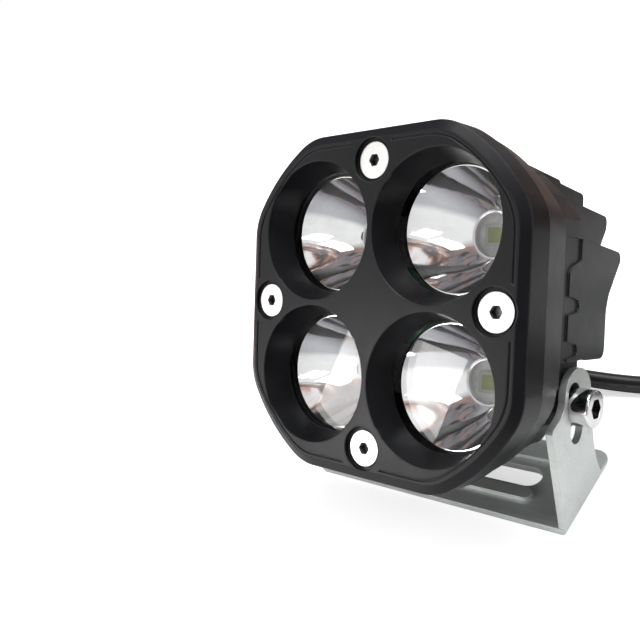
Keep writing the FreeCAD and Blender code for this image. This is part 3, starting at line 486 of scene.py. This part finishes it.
MATERIALS = {
    "bezel_black": coated(
        "bezel_black", (0.0068, 0.0071, 0.0085), 0.3, dust=0.06, shine=0.2, edge=0.0005,
        edge_wear_and_highlight_tone=(0.06, 0.062, 0.067, 1)
    ),
    "housing_black": coated(
        "housing_black", (0.0135, 0.015, 0.015), 0.38, stipple=700.0, dust=0.12, shine=0.4,
        edge_wear_and_highlight_tone=(0.06, 0.066, 0.066, 1), depth=0.00003
    ),
    # Painted shade darkens the screws' hex sockets.
    "screw_nickel": metal(
        "screw_nickel", (0.9, 0.885, 0.86), 0.36, lines=(500, 500, 60), marks=0.15, recess_shade=0.0022
    ),
    "clear_lens": clear_lens(),
    "black_rubber": coated("black_rubber", (0.013, 0.013, 0.014), 0.62, dust=0.5, shine=0.35),
    "reflector_mirror": mirror(),
    "white_board": coated("white_board", (0.75, 0.75, 0.73), 0.4, dust=0.1, edge_wear_and_highlight_tone=(0.55, 0.5, 0.35, 1)),
    "diode_white": diode_surface("diode_white", (0.6, 0.6, 0.58)),
    "phosphor_yellow": diode_surface("phosphor_yellow", (0.36, 0.41, 0.17)),
    "inner_steel": metal("inner_steel", (0.6, 0.6, 0.6), 0.35),
    "grey_pad": coated("grey_pad", (0.4, 0.42, 0.46), 0.7, dust=0.1, edge_wear_and_highlight_tone=(0.5, 0.5, 0.52, 1)),
    "green_board": coated("green_board", (0.02, 0.16, 0.06), 0.35, dust=0.1, edge_wear_and_highlight_tone=(0.5, 0.42, 0.2, 1)),
    "dark_ferrite": coated("dark_ferrite", (0.04, 0.04, 0.043), 0.6, stipple=1500.0, dust=0.1),
    "can_aluminium": metal("can_aluminium", (0.78, 0.78, 0.79), 0.25, marks=0.1),
    "gland_black": coated("gland_black", (0.016, 0.016, 0.017), 0.42, dust=0.3),
    "wire_red": coated("wire_red", (0.42, 0.015, 0.012), 0.4, dust=0.05, edge_wear_and_highlight_tone=(0.5, 0.03, 0.02, 1)),
    "wire_black": coated("wire_black", (0.015, 0.015, 0.015), 0.4, dust=0.05),
    "cable_black": coated("cable_black", (0.011, 0.011, 0.012), 0.38, stipple=1600.0, dust=0.35, shine=0.45),
    "zinc_steel": metal(
        "zinc_steel", (0.66, 0.695, 0.675), 0.4, lines=(30, 420, 420), marks=0.5, depth=0.000012, metallic=0.6
    ),
    # Painted shade darkens the bolt's recesses.
    "bolt_chrome": metal("bolt_chrome", (0.8, 0.8, 0.8), 0.08, lines=(60, 400, 400), marks=0.3, recess_shade=0.003),
    "plug_black": coated("plug_black", (0.018, 0.018, 0.019), 0.45, stipple=1200.0, dust=0.3),
    "seal_orange": coated("seal_orange", (0.5, 0.11, 0.02), 0.5, dust=0.2, edge_wear_and_highlight_tone=(0.6, 0.2, 0.08, 1)),
    "pin_brass": metal("pin_brass", (0.78, 0.63, 0.34), 0.24, marks=0.1),
}


def dress(piece, slot):
    """Gives a piece its one material."""
    piece.data.materials.clear()
    piece.data.materials.append(MATERIALS[slot])


def dress_cad_nodes():
    """Puts each CAD node's material in the slots that it came with."""
    for row in frame["record"]["subparts"]:
        node = frame["nodes"][row["node"]]
        for held in node.material_slots:
            held.material = MATERIALS[row["material_slot"]]


# ---------------------------------------------------------------- reflectors, diodes and boot


def make_reflectors():
    """Four bowls: a rolled rim, a parabola down to a beaded throat, and the wall behind it.

    The parabola's depth is vertex - r squared / (4 focal), in millimetres. The bead is half an
    ellipse: r = 5.08 + 0.26 cos a, and depth = the parabola's end - 0.3 sin a.
    """
    focal, vertex, rim, throat, wall = 2.607, 26.8, 13.3, 5.36, 0.6
    bore = 4.8
    radius = np.linspace(rim, throat, 48)
    depth = vertex - radius**2 / (4 * focal)
    inner = np.stack([radius, depth], 1)
    outer = np.stack([radius[::-1] + wall, depth[::-1] + 0.1], 1)
    turn = np.linspace(0, math.pi, 12)
    bead = np.stack([5.08 + 0.26 * np.cos(turn), depth[-1] - 0.3 * np.sin(turn)], 1)
    end = depth[-1] + 1.1
    step = [*bead, (bore, depth[-1] + 0.1), (bore, end), (throat + wall, end)]
    front = depth[0]
    lip = [
        (rim + wall, front + 0.2), (rim + wall * 0.8, front + 0.02), (rim + wall * 0.5, front - 0.02),
        (rim + 0.1, front - 0.01)
    ]
    profile = np.concatenate([inner, step, outer[:-1], lip]) * MM
    for name, (x, z) in QUARTERS.items():
        centre = (x * LAMP_PITCH / 2, 0.0, z * LAMP_PITCH / 2)
        bowl = make_object(f"bowl_{name}", *turned_parts(profile, centre, sides=128))
        fix_normals(bowl)
        sharpen(bowl, 40)
        dress(bowl, "reflector_mirror")
        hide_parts(f"reflector_{name}")
        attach(bowl, "lamp_head")


PAD_SIDES = 64
PAD_RINGS = 18
PAD_INNERMOST = 0.04


def pad_surface(side, front, back, crown, rounding, centre):
    """A square pad with rounded corners and a crowned front.

    Each ring of the front is the outline scaled towards the centre by s, and its depth is
    front - crown (1 - s squared). The outline is a superellipse: |x|^n + |z|^n = 1 with n = 2 / rounding.
    """
    angle = np.arange(PAD_SIDES) * (2 * math.pi / PAD_SIDES)
    x = np.sign(np.cos(angle)) * np.abs(np.cos(angle)) ** rounding
    z = np.sign(np.sin(angle)) * np.abs(np.sin(angle)) ** rounding
    rings = np.linspace(1.0, PAD_INNERMOST, PAD_RINGS)
    scale = np.concatenate([[1.0], rings])[:, None]
    depth = np.concatenate([[back], front - crown * (1 - rings**2)])[:, None]
    depth = np.broadcast_to(depth, (len(scale), PAD_SIDES))
    points = np.stack([x * scale * side / 2, depth, z * scale * side / 2], -1)
    vertices = moved((points + np.array(centre) / MM).reshape(-1, 3) * MM, LAMP)
    faces = grid_faces(len(scale), PAD_SIDES, wrap_columns=True).tolist()
    last = range(len(vertices) - PAD_SIDES, len(vertices))
    return vertices, faces + [list(range(PAD_SIDES)), list(last)[::-1]]


def make_diodes():
    """A white package with a crowned phosphor square on it, at the bottom of each bowl."""
    for title, node, slot, side, front, back, crown, rounding in [
        ("package", "light_diodes", "diode_white", 5.0, 24.4, 25.4, 0.15, 0.22),
        ("phosphor", "diode_phosphors", "phosphor_yellow", 3.4, 24.3, 24.5, 0.18, 0.16),
    ]:
        vertices, faces = [], []
        for x, z in QUARTERS.values():
            centre = (x * LAMP_PITCH / 2, 0.0, z * LAMP_PITCH / 2)
            some, more = pad_surface(side, front, back, crown, rounding, centre)
            faces += [[v + len(vertices) for v in face] for face in more]
            vertices += some.tolist()
        piece = make_object(title + "s", vertices, faces)
        fix_normals(piece)
        sharpen(piece, 40)
        dress(piece, slot)
        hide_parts(node)
        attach(piece, "lamp_head")


def make_boot():
    """The gland's tapering rubber boot, with rings that let it bend.

    Its radius falls evenly from the gland to its mouth. Added to it is 0.22 times a sine with 4.5 waves,
    cut off at -0.4 and faded out at both ends by the parabola 8 t (1 - t), held to 1.
    """
    start, gland_radius, mouth_radius = 38.5, 3.6, 2.65
    stem_start, stem_radius = 33.0, 3.0
    depth = np.linspace(start, BOOT_END, 90)
    along = (depth - depth[0]) / (depth[-1] - depth[0])
    taper = gland_radius + (mouth_radius - gland_radius) * along
    fade = np.clip(8 * along * (1 - along), 0, 1)
    rings = 0.22 * np.clip(np.sin(along * 2 * math.pi * 4.5), -0.4, 1.0) * fade
    outer = np.stack([taper + rings, depth], 1)
    bore = CABLE / 2 / MM + 0.01
    stem = [(bore, stem_start), (stem_radius, stem_start), (stem_radius, start - 0.1)]
    profile = np.concatenate([stem, outer, [(bore, BOOT_END)]]) * MM
    boot = make_object("boot", *turned_parts(profile, (0.0, 0.0, -GLAND_BELOW), sides=64))
    fix_normals(boot)
    sharpen(boot, 30)
    dress(boot, "black_rubber")
    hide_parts("gland_boot")
    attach(boot, "lamp_head")


dress_cad_nodes()
make_reflectors()
make_diodes()
make_boot()
for cord in cords:
    dress(cord, "cable_black")

# ---------------------------------------------------------------- studio

TABLE = 1.5  # radius of the table top


def seen_by_camera(tree):
    """1 for what the camera sees directly, and 0 for reflections and lighting."""
    return add(tree, "LightPath").outputs["Is Camera Ray"]


def make_floor():
    """A white table top, a flat disc. Away from the object its reflection holds darker, warmer things."""
    sides, below = 96, -0.00002
    angle = np.arange(sides) * (2 * math.pi / sides)
    points = np.stack([TABLE * np.cos(angle), TABLE * np.sin(angle), np.full(sides, below)], -1)
    floor = make_object("floor", points, [list(range(sides))])
    material, tree, shader, place = new_material("floor_white")
    paper = add(tree, "TexNoise", {"Vector": place, "Scale": 400.0, "Detail": 3.0})
    tone = mix_colours(tree, paper.outputs[0], (0.86, 0.86, 0.86, 1), (0.9, 0.9, 0.9, 1))
    distance = add(tree, "VectorMath", {0: place}, operation="LENGTH").outputs["Value"]
    away = math_of(tree, "SUBTRACT", spread(tree, distance, 0.12, 0.2), seen_by_camera(tree), clamp=True)
    things = add(tree, "TexNoise", {"Vector": place, "Scale": 5.0, "Detail": 4.0, "Distortion": 1.2})
    things = things.outputs[0]
    warm = mix_colours(tree, spread(tree, things, 0.47, 0.51), (0.05, 0.04, 0.04, 1), (0.5, 0.27, 0.2, 1))
    warm = mix_colours(tree, spread(tree, things, 0.56, 0.6), warm, (0.85, 0.83, 0.82, 1))
    tree.links.new(mix_colours(tree, away, tone, warm), shader.inputs["Base Color"])
    shader.inputs["Roughness"].default_value = 0.6
    shader.inputs["Specular IOR Level"].default_value = 0.1
    shader.inputs["Emission Color"].default_value = (1, 1, 1, 1)
    tree.links.new(math_of(tree, "MULTIPLY", seen_by_camera(tree), 0.6), shader.inputs["Emission Strength"])
    floor.data.materials.append(material)


def softbox(name, place, target, size, power, colour=(1, 1, 1)):
    """A rectangular studio light that faces its target."""
    data = bpy.data.lights.new(name, "AREA")
    data.shape = "RECTANGLE"
    data.size, data.size_y = size
    data.energy = power
    data.color = colour
    lamp = bpy.data.objects.new(name, data)
    lamp.location = place
    aim = Vector(target) - Vector(place)
    lamp.rotation_euler = aim.to_track_quat("-Z", "Y").to_euler()
    bpy.context.scene.collection.objects.link(lamp)


def make_room():
    """The room that shiny surfaces mirror: a pale wall to the front left and a dim room elsewhere.

    Low down it holds warm shapes and dark ones. The camera itself sees plain white everywhere.
    """
    world = bpy.data.worlds.new("studio")
    bpy.context.scene.world = world
    world.use_nodes = True
    tree = world.node_tree
    way = add(tree, "TexCoord").outputs["Generated"]
    parts = add(tree, "SeparateXYZ", {0: way})
    height = parts.outputs["Z"]
    front_left = Vector((-0.62, -0.62, 0.48)).normalized()
    toward = add(tree, "VectorMath", {0: way, 1: front_left}, operation="DOT_PRODUCT").outputs["Value"]
    wall = spread(tree, toward, 0.7, 0.84)
    ceiling = spread(tree, height, 0.55, 0.95)
    shapes = add(
        tree, "TexNoise", {"Vector": way, "Scale": 4.0, "Detail": 4.0, "Roughness": 0.55, "Distortion": 1.4}
    )
    behind = spread(tree, parts.outputs["Y"], 0.1, 0.4)
    low_down = spread(tree, height, 0.6, 0.4)
    warm = math_of(tree, "MULTIPLY", spread(tree, shapes.outputs[0], 0.54, 0.57), low_down)
    dark = math_of(tree, "MULTIPLY", spread(tree, shapes.outputs[0], 0.45, 0.42), low_down)
    colour = mix_colours(tree, ceiling, (0.24, 0.23, 0.255, 1), (0.6, 0.6, 0.63, 1))
    colour = mix_colours(tree, warm, colour, (0.4, 0.22, 0.17, 1))
    colour = mix_colours(tree, dark, colour, (0.03, 0.028, 0.028, 1))
    colour = mix_colours(tree, behind, colour, (0.2, 0.21, 0.21, 1))
    colour = mix_colours(tree, wall, colour, (1.05, 1.045, 1.04, 1))
    colour = mix_colours(tree, seen_by_camera(tree), colour, (1, 1, 1, 1))
    tree.links.new(colour, tree.nodes["Background"].inputs["Color"])


def make_lights():
    """Four softboxes: overhead and a little behind, right, front left, and low at the front."""
    middle = (0.0, 0.0, 0.05)
    softbox("softbox_over", (0.1, 0.25, 1.0), middle, (0.6, 0.5), 9.0)
    softbox("softbox_right", (0.9, 0.1, 0.35), middle, (0.12, 0.7), 2.2)
    softbox("softbox_left", (-0.75, -0.9, 0.35), middle, (0.22, 0.3), 2.0, (1, 0.98, 0.96))
    softbox("softbox_low", (-0.25, -0.95, 0.16), (0.0, 0.0, 0.01), (0.5, 0.2), 1.6)
    bpy.context.scene.view_settings.view_transform = "Standard"


make_room()
make_floor()
make_lights()
